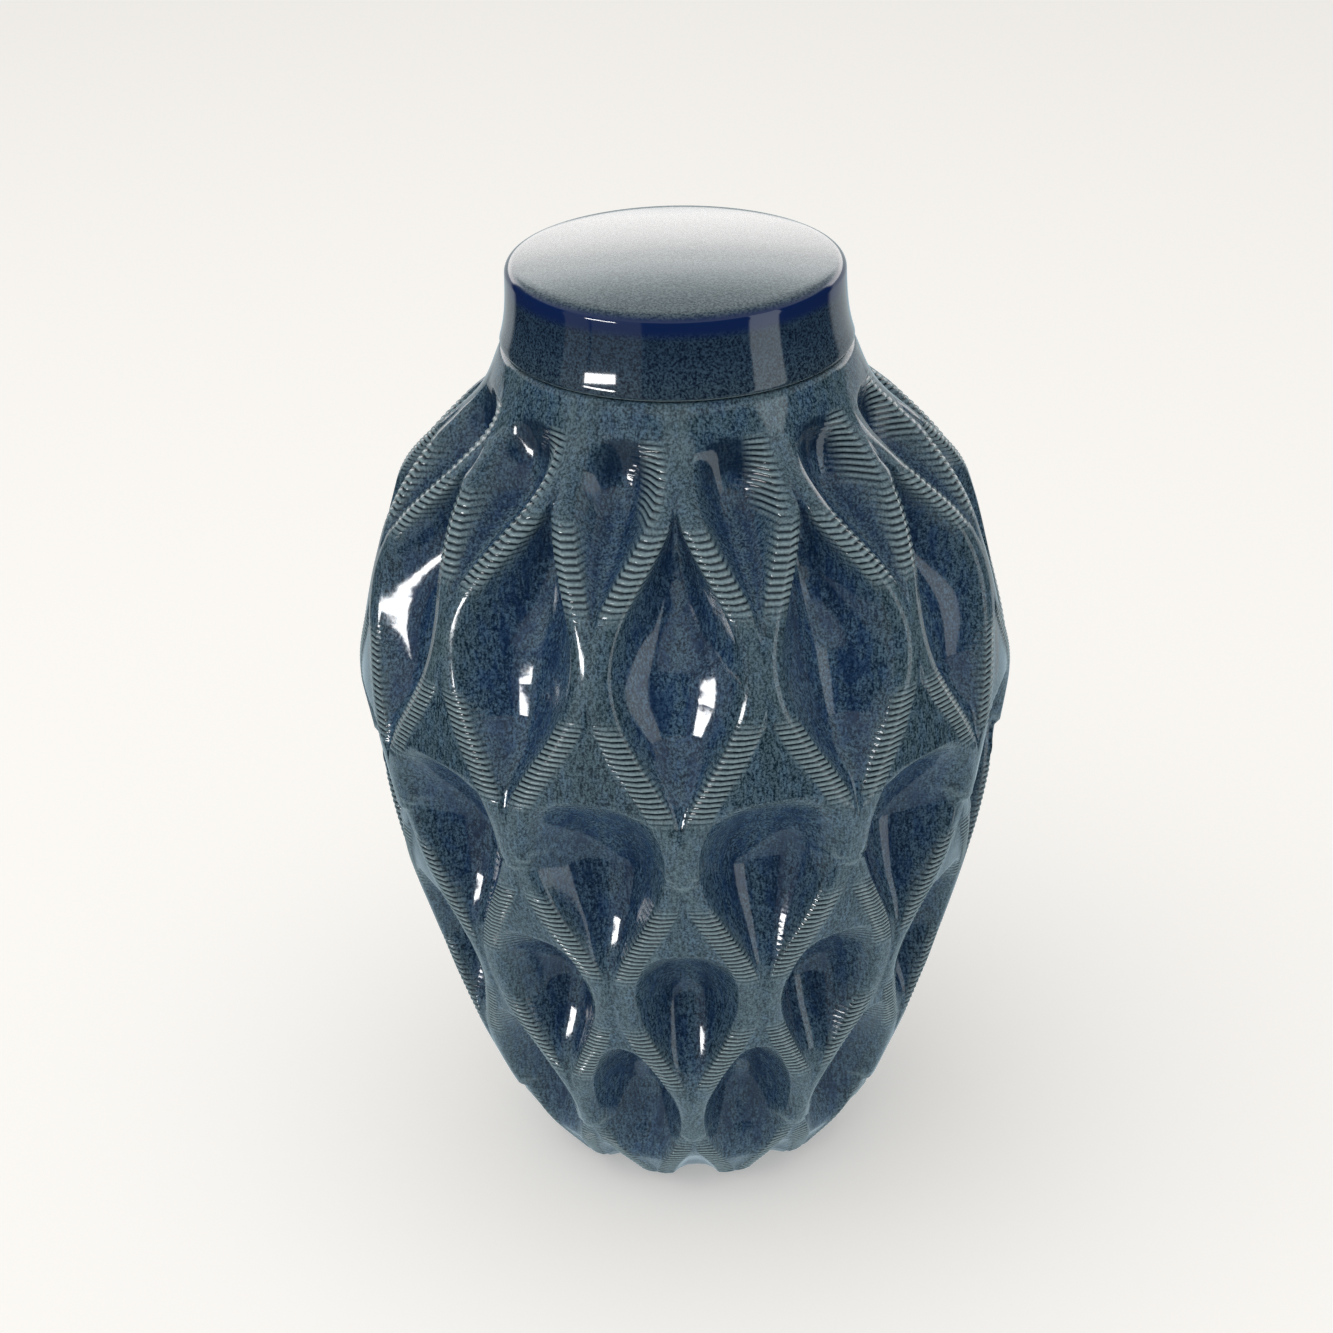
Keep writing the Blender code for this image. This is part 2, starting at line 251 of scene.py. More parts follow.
def layer_strength(height):
    """How clearly the layers show at a height: where the ridges lean, and not where two of them close."""
    step = 1.0 * MM
    radius = crest_radius(height)
    lean = np.abs(pair_half_angle(height + step) - pair_half_angle(height - step)) / (2 * step) * radius
    slope = np.abs(crest_radius(height + step) - crest_radius(height - step)) / (2 * step)
    faint, clear = LAYERS_LEAN
    shows = np.clip((lean + SLOPE_ADDS * slope - faint) / (clear - faint), 0, 1)
    pair = pair_half_angle(height)
    apart = np.minimum(pair, math.pi / COLUMNS - pair) * radius
    closed = np.interp(height, CLOSED_HEIGHTS, CLOSED_REACH)
    fade_low, fade_high = LAYERS_TOP
    below_collar = smooth((fade_high - height) / (fade_high - fade_low))
    strength = shows * below_collar * np.clip((apart - closed) / CLOSED_FADE, 0, 1)
    return np.clip((strength - FAINTEST_LAYER) / (1 - FAINTEST_LAYER), 0, 1)


def outer_rows(sizes):
    """Heights of the outer rows, from the seat down: close together in the layers, wider apart elsewhere."""
    step = sizes.layer_height / ROWS_PER_LAYER
    numbers = np.arange(int(SEAT_HEIGHT / step), int(FOOT_ROUND / step), -1)
    heights = numbers * step
    reach = layer_strength(heights + step) + layer_strength(heights) + layer_strength(heights - step)
    low, high = WALL_LAYERS
    reach = reach + ((heights > low) & (heights < high))
    by_tip = sum(np.abs(heights - tip - TONGUE_EDGE / 2) < 2.0 * MM for tip in TONGUE_TIPS)
    kept = heights[(reach > CLOSE_ROWS) | (by_tip > 0) | (numbers % sizes.plain_rows == 0)]
    return np.concatenate([[SEAT_HEIGHT], kept[kept < SEAT_HEIGHT - step / 2], [FOOT_ROUND]])


def arc(centre, radius, start, end, count):
    """Points of a round edge in the profile's plane, angles in degrees."""
    angles = np.radians(np.linspace(start, end, count))
    return [(centre[0] + radius * math.cos(a), centre[1] + radius * math.sin(a)) for a in angles]


def body_profile(sizes):
    """Radius, height, carved share and outer share of each row, from the inner floor to the foot."""
    outer = outer_rows(sizes)
    cove_top = FLOOR_HEIGHT + FLOOR_COVE
    inner = np.arange(cove_top, SEAT_HEIGHT - INNER_STEP / 2, INNER_STEP)
    floor_edge = float(crest_radius(FLOOR_HEIGHT)) - WALL - FLOOR_COVE
    rows = [(0.0, FLOOR_HEIGHT, 0, 0), (floor_edge, FLOOR_HEIGHT, 0, 0)]
    rows += [(r, z, 1, 0) for r, z in zip(crest_radius(inner) - WALL, inner)]
    rim_inner = (MOUTH_RADIUS + RIM_ROUND, NECK_TOP - RIM_ROUND)
    rim_outer = (NECK_RADIUS - RIM_ROUND, NECK_TOP - RIM_ROUND)
    neck = [(MOUTH_RADIUS, MOUTH_LOW)]
    neck += arc(rim_inner, RIM_ROUND, 180, 90, 4) + arc(rim_outer, RIM_ROUND, 90, 0, 4)
    neck += arc((NECK_RADIUS + NECK_COVE, SEAT_HEIGHT + NECK_COVE), NECK_COVE, 180, 270, 4)
    rows += [(r, z, 0, 0) for r, z in neck]
    rows += [(r, z, 1, 1) for r, z in zip(crest_radius(outer), outer)]
    foot_centre = (float(crest_radius(0.0)) - FOOT_ROUND, FOOT_ROUND)
    rows += [(r, z, 1, 0) for r, z in arc(foot_centre, FOOT_ROUND, -25, -90, 4)]
    step = FOOT_RECESS_DEPTH
    rows += [(r, z, 0, 0) for r, z in arc((FOOT_RECESS_RADIUS, step), step, -90, -180, 3)]
    rows.append((0.0, FOOT_RECESS_DEPTH, 0, 0))
    return np.array(rows)


def profile_mesh(sizes):
    """The body's profile as points, each with what the carving needs to know about its height."""
    rows = body_profile(sizes)
    height = rows[:, 1]
    outer = rows[:, 3]
    inner = (rows[:, 2] > 0) & (outer == 0) & (height > FOOT_ROUND + MM)
    tip = np.where(height > np.mean(TONGUE_TIPS), TONGUE_TIPS[0], TONGUE_TIPS[1])
    fade = np.clip((FADE_TOP - height) / FADE_LENGTH, 0, 1)
    low, high = WALL_LAYERS
    low_fade, high_fade = WALL_LAYERS_FADES
    wall_layers = smooth((height - low) / low_fade) * smooth((high - height) / high_fade)
    thin_low, thin_high = THIN_GLAZE
    thin_glaze = smooth((thin_high - height) / THIN_GLAZE_FADE)
    thin_glaze = thin_glaze * smooth((height - thin_low) / THIN_GLAZE_FADE)
    foot_low, foot_high = POOLED_FOOT
    shoulder_low, shoulder_high = POOLED_SHOULDER
    at_foot = smooth((foot_high - height) / (foot_high - foot_low))
    at_shoulder = smooth((height - shoulder_low) / (shoulder_high - shoulder_low))
    values = {
        "carved": rows[:, 2],
        "outer": outer,
        "crest_radius": crest_radius(height),
        "length": length_at(height),
        "pair": pair_half_angle(height),
        "stepped_pair": pair_half_angle(stepped_height(height, sizes.layer_height)),
        "spread": np.where(inner, INNER_SPREAD, 0.0),
        "land": fade * outer,
        "groove": np.interp(height, GROOVE_HEIGHTS, GROOVE_DEPTHS),
        "bowl": np.interp(height, BOWL_HEIGHTS, BOWL_POWERS),
        "ends": (at_foot * 0.9 + at_shoulder * 0.5) * outer,
        "thin_glaze": thin_glaze,
        "below_tip": tip - height,
        "tongue": outer * (1 - smooth((tip - height) / TONGUE_LENGTH)),
        "layers": layer_strength(height) * outer,
        "wall_layers": wall_layers * outer,
        "ridge_width": np.interp(height, RIDGE_HEIGHTS, RIDGE_WIDTHS),
        "bead": bead(height, sizes.layer_height),
    }
    mesh = bpy.data.meshes.new("body_profile")
    mesh.from_pydata([(r, 0.0, z) for r, z in rows[:, :2]], [(i, i + 1) for i in range(len(rows) - 1)], [])
    for name, data in values.items():
        mesh.attributes.new(name, "FLOAT", "POINT").data.foreach_set("value", data.astype(np.float32))
    return mesh, list(values)


# Node arithmetic.


def arithmetic(operation, swapped=False):
    """A method for Value that adds a Math node with this operation."""

    def method(self, other):
        first, second = (other, self) if swapped else (self, other)
        return math_node(self.tree, operation, first, second)

    return method


class Value:
    """A number worked out in a node tree. Arithmetic on it adds Math nodes to the tree."""

    def __init__(self, tree, socket):
        self.tree = tree
        self.socket = socket

    __add__ = arithmetic("ADD")
    __radd__ = arithmetic("ADD", swapped=True)
    __sub__ = arithmetic("SUBTRACT")
    __rsub__ = arithmetic("SUBTRACT", swapped=True)
    __mul__ = arithmetic("MULTIPLY")
    __rmul__ = arithmetic("MULTIPLY", swapped=True)
    __truediv__ = arithmetic("DIVIDE")
    __rtruediv__ = arithmetic("DIVIDE", swapped=True)
    __pow__ = arithmetic("POWER")


def plug(tree, value, socket):
    """Sets a socket to a number, or links it to a value or another socket."""
    if isinstance(value, Value):
        tree.links.new(value.socket, socket)
    elif isinstance(value, bpy.types.NodeSocket):
        tree.links.new(value, socket)
    else:
        socket.default_value = value


def add_node(tree, kind, inputs=None, **settings):
    """A node with these settings and inputs. Nodes are laid out in columns of eight, left to right."""
    node = tree.nodes.new(kind)
    number = len(tree.nodes)
    node.location = (number // 8 * 200, -(number % 8) * 180)
    for name, value in settings.items():
        setattr(node, name, value)
    for name, value in (inputs or {}).items():
        plug(tree, value, node.inputs[name])
    return node


def results(tree, node):
    """What a node gives, by name."""
    return {socket.name: Value(tree, socket) for socket in node.outputs if socket.name}


def math_node(tree, operation, *values, clamp=False):
    node = add_node(tree, "ShaderNodeMath", dict(enumerate(values)), operation=operation, use_clamp=clamp)
    return Value(tree, node.outputs[0])


def clamped(value):
    return math_node(value.tree, "ADD", value, 0.0, clamp=True)


def smooth_step(value, low, high):
    """0 below low, 1 above high, with a soft start and end."""
    inputs = {"Value": value, "From Min": low, "From Max": high}
    node = add_node(value.tree, "ShaderNodeMapRange", inputs, interpolation_type="SMOOTHSTEP")
    return Value(value.tree, node.outputs["Result"])


def blend(tree, share, first, second):
    """first where share is 0, second where it is 1."""
    node = add_node(tree, "ShaderNodeMix", {"Factor": share, "A": first, "B": second}, data_type="FLOAT")
    return Value(tree, node.outputs["Result"])


def blend_colour(tree, share, first, second):
    node = add_node(tree, "ShaderNodeMix", {"Factor": share}, data_type="RGBA")
    for name, colour in (("A", first), ("B", second)):
        socket = next(s for s in node.inputs if s.name == name and s.type == "RGBA")
        plug(tree, colour, socket)
    return next(s for s in node.outputs if s.type == "RGBA")


def split_vector(tree, vector):
    node = add_node(tree, "ShaderNodeSeparateXYZ", {0: vector})
    return [Value(tree, s) for s in node.outputs]


def new_group(name, kind, inputs, outputs):
    """A node group, and its inputs by name. Inputs are given as (name, socket type, default)."""
    tree = bpy.data.node_groups.new(name, kind)
    for title, socket_type, default in inputs:
        socket = tree.interface.new_socket(title, in_out="INPUT", socket_type=socket_type)
        if default is not None:
            socket.default_value = default
    for title, socket_type in outputs:
        tree.interface.new_socket(title, in_out="OUTPUT", socket_type=socket_type)
    return tree, results(tree, add_node(tree, "NodeGroupInput"))


def use_group(tree, group, inputs):
    """Adds a group to a tree. Gives what it works out, by name."""
    kind = "GeometryNodeGroup" if group.bl_idname == "GeometryNodeTree" else "ShaderNodeGroup"
    return results(tree, add_node(tree, kind, inputs, node_tree=group))


# Geometry nodes of the carved body.


def sampled(tree, profile, name, row):
    """A named value of the profile's point in this row."""
    attribute = add_node(tree, "GeometryNodeInputNamedAttribute", {"Name": name}, data_type="FLOAT")
    return sample(tree, profile, attribute.outputs["Attribute"], row)


def sample(tree, profile, value, row):
    inputs = {"Geometry": profile, "Value": value, "Index": row}
    node = add_node(tree, "GeometryNodeSampleIndex", inputs, data_type="FLOAT", domain="POINT")
    return Value(tree, node.outputs["Value"])


def hollow_group():
    """Depth of one row of hollows: steep under a top edge that arches, rising again to its lower end."""
    tree, given = new_group(
        "Hollow Row",
        "GeometryNodeTree",
        [
            ("Length", FLOAT, 0.0),
            ("Across", FLOAT, 0.0),
            ("Top Edge", FLOAT, 0.1),
            ("Bottom", FLOAT, 0.0),
            ("Fall", FLOAT, 0.01),
            ("Rise", FLOAT, 0.01),
            ("Arch Drop", FLOAT, 0.005),
            ("Depth", FLOAT, 0.01),
            ("Fall Power", FLOAT, 1.0),
            ("Rise Power", FLOAT, 1.5),
            ("Spread", FLOAT, 0.0),
        ],
        [("Hollow", FLOAT), ("Band", FLOAT)],
    )
    here, across, top, bottom, fall, rise, arch_drop, depth, fall_power, rise_power, spread = given.values()
    below_edge = clamped((top + spread - arch_drop * across * across - here) / fall)
    above_end = clamped((here - bottom + spread) / rise)
    above_end = above_end * above_end * (1.0 + SOFT_END) / (above_end + SOFT_END)
    falling = (1.0 - (1.0 - below_edge) ** 2.0) ** fall_power
    rising = 1.0 - (1.0 - above_end) ** rise_power
    band = smooth_step(below_edge, 0.0, 0.05) - smooth_step(below_edge, 0.3, 0.5)
    add_node(tree, "NodeGroupOutput", {"Hollow": depth * falling * rising, "Band": band})
    return tree


def past_ridge(from_crest, width):
    """Distance past the edge of a ridge's rounded top: 0 on the crest, growing evenly beyond the edge."""
    beyond = from_crest - width
    start = width * -1.0
    round_here = (beyond * beyond + RIDGE_ROUND**2) ** 0.5
    round_start = (width * width + RIDGE_ROUND**2) ** 0.5
    return (beyond + round_here - start - round_start) * 0.5


def body_tree(names):
    """Wraps the profile round the axis as a grid of points, and carves it by its values of these names."""
    tree, given = new_group(
        "Carved Body",
        "GeometryNodeTree",
        [
            ("Profile", "NodeSocketGeometry", None),
            ("Rows", "NodeSocketInt", 100),
            ("Steps Per Gap", "NodeSocketInt", 10),
            ("Step Crowding", FLOAT, 2.0),
            ("Full Width", FLOAT, 0.014),
            ("Land Depth", FLOAT, 0.0012),
            ("Lip Width", FLOAT, 0.0045),
            ("Tongue Step", FLOAT, 0.0009),
            ("Layer Depth", FLOAT, 0.00055),
            ("Glaze", "NodeSocketMaterial", None),
        ],
        [("Body", "NodeSocketGeometry")],
    )
    profile = given["Profile"]
    rows = given["Rows"]
    steps = given["Steps Per Gap"]
    columns = steps * (2 * COLUMNS)
    grid = add_node(tree, "GeometryNodeMeshGrid", {"Vertices X": columns + 1, "Vertices Y": rows})

    index = Value(tree, add_node(tree, "GeometryNodeInputIndex").outputs[0])
    column = math_node(tree, "FLOOR", (index + 0.5) / rows)
    row = index - column * rows + 0.25
    gap_turn = math_node(tree, "FLOOR", (column + 0.5) / steps)
    share = (column - gap_turn * steps) / steps * 2.0 - 1.0
    side = math_node(tree, "SIGN", share)
    odd = gap_turn - math_node(tree, "FLOOR", (gap_turn + 0.5) / 2.0) * 2.0

    position = add_node(tree, "GeometryNodeInputPosition")
    profile_x, _, profile_z = split_vector(tree, position.outputs[0])
    radius = sample(tree, profile, profile_x, row)
    height = sample(tree, profile, profile_z, row)
    here = {name: sampled(tree, profile, name, row) for name in names}
    crest = here["crest_radius"]
    half = blend(tree, odd, here["pair"], math.pi / COLUMNS - here["pair"])
    half_width = half * crest
    spread = here["spread"]

    # The first step covers the flat top of the ridge. The others crowd towards its edge.
    flat = math_node(tree, "MINIMUM", here["ridge_width"], half_width * 0.6)
    step = (1.0 - math_node(tree, "ABSOLUTE", share)) * steps / 2.0
    on_flat = clamped(step)
    beyond = clamped((step - 1.0) / (steps / 2.0 - 1.0)) ** given["Step Crowding"]
    from_crest = flat * on_flat + (half_width - flat) * beyond
    across = side * (1.0 - from_crest / half_width)

    group = hollow_group()
    hollow = 0.0
    band = 0.0
    for number, (top, bottom, fall, rise, arch_drop, depth, fall_power, rise_power) in HOLLOW_ROWS.items():
        inputs = {
            "Length": here["length"],
            "Across": across,
            "Top Edge": float(length_at(top)),
            "Bottom": float(length_at(bottom)),
            "Fall": fall,
            "Rise": rise,
            "Arch Drop": arch_drop,
            "Depth": depth,
            "Fall Power": fall_power,
            "Rise Power": rise_power,
            "Spread": spread,
        }
        carved = use_group(tree, group, inputs)
        in_row = odd if number % 2 else 1.0 - odd
        hollow = carved["Hollow"] * in_row + hollow
        if number > 2:
            band = carved["Band"] * in_row + band
        # The band under the first row's top edge marks its openings, which get painted shade.
        if number == 1:
            opening = carved["Band"] * in_row

    past_top = past_ridge(from_crest + spread, here["ridge_width"])
    wall_share = clamped(past_top / past_ridge(half_width, here["ridge_width"]))
    bowl = 1.0 - (1.0 - wall_share) ** here["bowl"]
    narrowness = 1.0 - clamped((half_width + spread) / given["Full Width"])
    fullness = 1.0 - narrowness**1.5
    wall = bowl * fullness
    lip = smooth_step(from_crest, here["ridge_width"] * 0.7, given["Lip Width"])
    hollow = here["groove"] * (1.0 - odd) + hollow
    carving = wall * hollow + given["Land Depth"] * here["land"] * lip

    # Distance round the body from the middle of the nearest pair, for the step round each tongue's tip.
    in_pair = math_node(tree, "ABSOLUTE", across) * half_width
    from_pair = blend(tree, odd, in_pair, from_crest + here["pair"] * crest)
    past_tip = here["below_tip"] + from_pair * from_pair / (2.0 * TONGUE_ROUND)
    near_pair = 1.0 - smooth_step(from_pair, *PAIR_REACH)
    tongue = here["tongue"] * smooth_step(past_tip, 0.0, TONGUE_EDGE) * near_pair
    tip_edge = smooth_step(past_tip, -1.2 * MM, -0.2 * MM) - smooth_step(past_tip, 0.6 * MM, 1.4 * MM)

    # The layers cover the flat top of the ridge, and show as strata under the hollows' top edges.
    hollow_share = clamped(hollow / POOL_DEPTH)
    cover = 1.0 - smooth_step(from_crest, flat * 1.02, flat * 1.3)
    strata = clamped(band) * smooth_step(wall_share, 0.02, 0.12) * 0.5
    layers = here["layers"] * math_node(tree, "MAXIMUM", cover, strata)
    on_wall = smooth_step(from_crest, 0.3 * MM, 2.0 * MM)
    on_wall = on_wall - smooth_step(from_crest, 6.0 * MM, WALL_LAYERS_REACH)
    on_wall = on_wall * here["wall_layers"] * odd * math_node(tree, "GREATER_THAN", across, 0.0)

    turned_half = blend(tree, odd, here["stepped_pair"], math.pi / COLUMNS - here["stepped_pair"])
    half_here = blend(tree, layers, half, turned_half)
    layer_cut = (1.0 - here["bead"]) * given["Layer Depth"]
    angle = gap_turn * (math.pi / COLUMNS) + across * half_here - math.pi / 2 + on_wall * layer_cut / crest
    layers = math_node(tree, "MAXIMUM", layers, on_wall)
    cut = layers * layer_cut
    out = radius - here["carved"] * carving - tongue * given["Tongue Step"] - cut
    out = math_node(tree, "MINIMUM", out, WIDEST_RADIUS)

    x = out * math_node(tree, "COSINE", angle)
    y = out * math_node(tree, "SINE", angle)
    point = add_node(tree, "ShaderNodeCombineXYZ", {"X": x, "Y": y, "Z": height}).outputs[0]
    inputs = {"Geometry": grid.outputs["Mesh"], "Position": point}
    geometry = add_node(tree, "GeometryNodeSetPosition", inputs).outputs["Geometry"]

    on_crest = 1.0 - smooth_step(from_crest, 0.4 * MM, 3.2 * MM)
    pooling = hollow / POOL_DEPTH * (1.0 - odd * here["thin_glaze"] * 0.7) + here["ends"]
    # Sides of the hollows, where the glaze pools deep and painted shade is added.
    on_side = smooth_step(wall_share, 0.1, 0.45) - smooth_step(wall_share, 0.75, 1.0)
    stored = {
        "layers": layers,
        "crest": math_node(tree, "MAXIMUM", on_crest, tip_edge * near_pair * 3.0) * here["outer"],
        "pool": clamped(wall * pooling) * here["outer"],
        # Painted shade in the openings under the first row's top edge.
        "arch_shade": clamped(opening) * smooth_step(wall_share, 0.1, 0.4) * here["outer"],
        "wall": clamped(on_side) * hollow_share * here["outer"],
    }
    for name, value in stored.items():
        inputs = {"Name": name, "Geometry": geometry, "Value": value}
        store = add_node(tree, "GeometryNodeStoreNamedAttribute", inputs, data_type="FLOAT", domain="POINT")
        geometry = store.outputs["Geometry"]
    finish = {
        "GeometryNodeMergeByDistance": {"Distance": 0.01 * MM},
        "GeometryNodeSetShadeSmooth": {},
        "GeometryNodeRealizeInstances": {},
        "GeometryNodeSetMaterial": {"Material": given["Glaze"]},
    }
    for kind, inputs in finish.items():
        geometry = add_node(tree, kind, {"Geometry": geometry, **inputs}).outputs["Geometry"]
    add_node(tree, "NodeGroupOutput", {"Body": geometry})
    return tree


def set_inputs(modifier, values):
    """Sets a geometry nodes modifier's inputs by their names."""
    found = {
        item.name: item.identifier
        for item in modifier.node_group.interface.items_tree
        if item.item_type == "SOCKET" and item.in_out == "INPUT"
    }
    for name, value in values.items():
        modifier[found[name]] = value


def as_plain_mesh(obj):
    """Turns what the object's modifiers make into its own mesh, and removes them."""
    graph = bpy.context.evaluated_depsgraph_get()
    mesh = bpy.data.meshes.new_from_object(obj.evaluated_get(graph), depsgraph=graph)
    obj.modifiers.clear()
    obj.data = mesh


def point_outwards(mesh):
    """Turns every face outwards, judged by the sign of the mesh's volume."""
    work = bmesh.new()
    work.from_mesh(mesh)
    if work.calc_volume(signed=True) < 0:
        bmesh.ops.reverse_faces(work, faces=work.faces)
    work.to_mesh(mesh)
    work.free()


# Outline of the lid.


def lid_profile():
    """Outline of the lid, from the middle of its dome down the skirt and up inside."""
    corner = (LID_ARRIS_RADIUS - LID_CORNER, LID_ARRIS_HEIGHT)
    rim = arc(corner, LID_CORNER, 82, 0, 12)
    dome_drop = LID_TOP - rim[0][1]
    points = [(rim[0][0] * share, LID_TOP - dome_drop * share**2) for share in np.linspace(0.0, 0.95, 14)]
    points += rim
    skirt_low = LID_EDGE_HEIGHT + LID_EDGE_ROUND
    for share in np.linspace(0.08, 1.0, 14):
        flare = STRAIGHT_FLARE * share + (1 - STRAIGHT_FLARE) * share**3
        radius = LID_ARRIS_RADIUS + (LID_EDGE_RADIUS - LID_ARRIS_RADIUS) * flare
        points.append((radius, LID_ARRIS_HEIGHT + (skirt_low - LID_ARRIS_HEIGHT) * share))
    points += arc((LID_EDGE_RADIUS - LID_EDGE_ROUND, skirt_low), LID_EDGE_ROUND, -15, -90, 6)
    ceiling = NECK_TOP + REST_GAP
    points.append((SKIRT_INNER_RADIUS + SKIRT_BEVEL, LID_EDGE_HEIGHT))
    points.append((SKIRT_INNER_RADIUS, LID_EDGE_HEIGHT + SKIRT_BEVEL))
    points += arc((SKIRT_INNER_RADIUS - SKIRT_COVE, ceiling - SKIRT_COVE), SKIRT_COVE, 0, 90, 4)
    points.append((0.0, ceiling))
    return points


# Glazes.


def shader_noise(tree, vector, scale, detail=2.0, roughness=0.5):
    inputs = {"Scale": scale, "Detail": detail, "Roughness": roughness, "Vector": vector}
    return Value(tree, add_node(tree, "ShaderNodeTexNoise", inputs).outputs[0])


def stretched(tree, vector, scale):
    return add_node(tree, "ShaderNodeMapping", {"Scale": scale, "Vector": vector}).outputs[0]


def mottle_group():
    """Grain of the glaze: fine mottle, dark specks and streaks that run down."""
    tree, given = new_group(
        "Glaze Mottle",
        "ShaderNodeTree",
        [
            ("Vector", "NodeSocketVector", None),
            ("Streak Share", FLOAT, 0.4),
            ("Contrast", FLOAT, 1.0),
        ],
        [(name, FLOAT) for name in ("Mottle", "Specks", "Clouds", "Runs")],
    )
    vector = given["Vector"]
    grain = shader_noise(tree, vector, 1500.0, 3.0, 0.7)
    streaks = shader_noise(tree, stretched(tree, vector, (1.0, 1.0, 0.22)), 1500.0, 3.0, 0.6)
    mixed = blend(tree, given["Streak Share"], grain, streaks)
    mottle = clamped((mixed - 0.5) * 6.4 * given["Contrast"] + 0.5)
    specks = smooth_step(shader_noise(tree, vector, 2300.0, 1.0, 0.5), 0.58, 0.66)
    clouds = smooth_step(shader_noise(tree, vector, 38.0, 3.0, 0.55), 0.36, 0.64)
    trails = shader_noise(tree, stretched(tree, vector, (1.0, 1.0, 0.3)), 330.0, 4.0, 0.65)
    runs = smooth_step(trails, 0.44, 0.62)
    add_node(tree, "NodeGroupOutput", {"Mottle": mottle, "Specks": specks, "Clouds": clouds, "Runs": runs})
    return tree


def break_group():
    """Where the glaze runs thin over edges and layers, and where it pools, with painted shade added on the
    sides of the hollows.
    """
    tree, given = new_group(
        "Glaze Break",
        "ShaderNodeTree",
        [(name, FLOAT, 0.0) for name in ("Crest", "Layers", "Bead", "Pool", "Wall")],
        [(name, FLOAT) for name in ("Thin", "Pooled", "Cuts")],
    )
    crest, layers, face, pool, wall = given.values()
    thin = clamped(layers * face * 0.95 + crest * 0.15)
    # The sides of the hollows count as pooled glaze, partly as painted shade.
    pooled = clamped(pool * 0.45 + wall * 0.6)
    cuts = clamped(layers * (1.0 - face) * 1.1)
    add_node(tree, "NodeGroupOutput", {"Thin": thin, "Pooled": pooled, "Cuts": cuts})
    return tree


def shared_group(name):
    """The shader group of this name, made the first time it is asked for."""
    makers = {"Glaze Mottle": mottle_group, "Glaze Break": break_group}
    return bpy.data.node_groups.get(name) or makers[name]()


def attribute_value(tree, name):
    node = add_node(tree, "ShaderNodeAttribute", attribute_type="GEOMETRY", attribute_name=name)
    return Value(tree, node.outputs["Fac"])


def new_material(name):
    material = bpy.data.materials.new(name)
    material.use_nodes = True
    tree = material.node_tree
    shader = tree.nodes["Principled BSDF"]
    shader.location = (3200, 0)
    tree.nodes["Material Output"].location = (3500, 0)
    return material, tree, shader


def object_coordinates(tree):
    return add_node(tree, "ShaderNodeTexCoord").outputs["Object"]


def bump(tree, height, strength, distance, normal=None):
    inputs = {"Strength": strength, "Distance": distance, "Height": height}
    if normal is not None:
        inputs["Normal"] = normal
    return add_node(tree, "ShaderNodeBump", inputs).outputs["Normal"]


def body_glaze(glaze, sizes, mottle, thinning):
    """Grainy ground, dark blue where it pools, pale on crests and layers, dark in the cuts, with painted
    shade on the sides of the hollows and in the openings of the first row.
    """
    material, tree, shader = new_material("body_glaze")
    vector = object_coordinates(tree)
    height = split_vector(tree, vector)[2]
    inputs = {"Vector": vector, "Streak Share": 0.4, "Contrast": 1.0}
    grains, specks, clouds, runs = use_group(tree, mottle, inputs).values()
    share = height / sizes.layer_height
    share = share - math_node(tree, "FLOOR", share)
    arch = clamped(share / BEAD_SHARE) * 2.0 - 1.0
    face = math_node(tree, "SQRT", clamped(1.0 - arch * arch))
    layers = attribute_value(tree, "layers")
    wall = attribute_value(tree, "wall")
    inputs = {
        "Crest": attribute_value(tree, "crest"),
        "Layers": layers,
        "Bead": face,
        "Pool": attribute_value(tree, "pool"),
        "Wall": wall,
    }
    thin, pooled, cuts = use_group(tree, thinning, inputs).values()
    arch_shade = attribute_value(tree, "arch_shade")
    light = blend_colour(tree, clouds * 0.5, glaze.land_light, glaze.land_green)
    colour = blend_colour(tree, grains, glaze.land_dark, light)
    pool_colour = blend_colour(tree, grains, glaze.pool_dark, glaze.pool_light)
    colour = blend_colour(tree, clamped(pooled + runs * 0.35), colour, pool_colour)
    colour = blend_colour(tree, runs * pooled * 0.75, colour, glaze.run)
    # Deep glaze on the sides of the hollows, darkened further as painted shade.
    colour = blend_colour(tree, wall * (1.0 - grains * 0.5) * 0.8, colour, glaze.wall)
    # Painted shade: the openings of the first row of hollows darkened towards the pool's dark ground.
    colour = blend_colour(tree, arch_shade * 0.75, colour, glaze.pool_dark)
    colour = blend_colour(tree, thin * (grains * 0.3 + 0.7), colour, glaze.crest)
    colour = blend_colour(tree, cuts * 0.85, colour, glaze.cut)
    colour = blend_colour(tree, specks * (1.0 - thin) * 0.55, colour, glaze.speck)
    plug(tree, colour, shader.inputs["Base Color"])
    plug(tree, 0.07 + grains * 0.05 + thin * 0.05, shader.inputs["Roughness"])
    ripple = shader_noise(tree, vector, 160.0, 2.0, 0.5)
    normal = bump(tree, ripple, 0.12, 0.4 * MM)
    normal = bump(tree, face * layers, 0.5, 0.35 * MM, normal)
    plug(tree, normal, shader.inputs["Normal"])
    return material


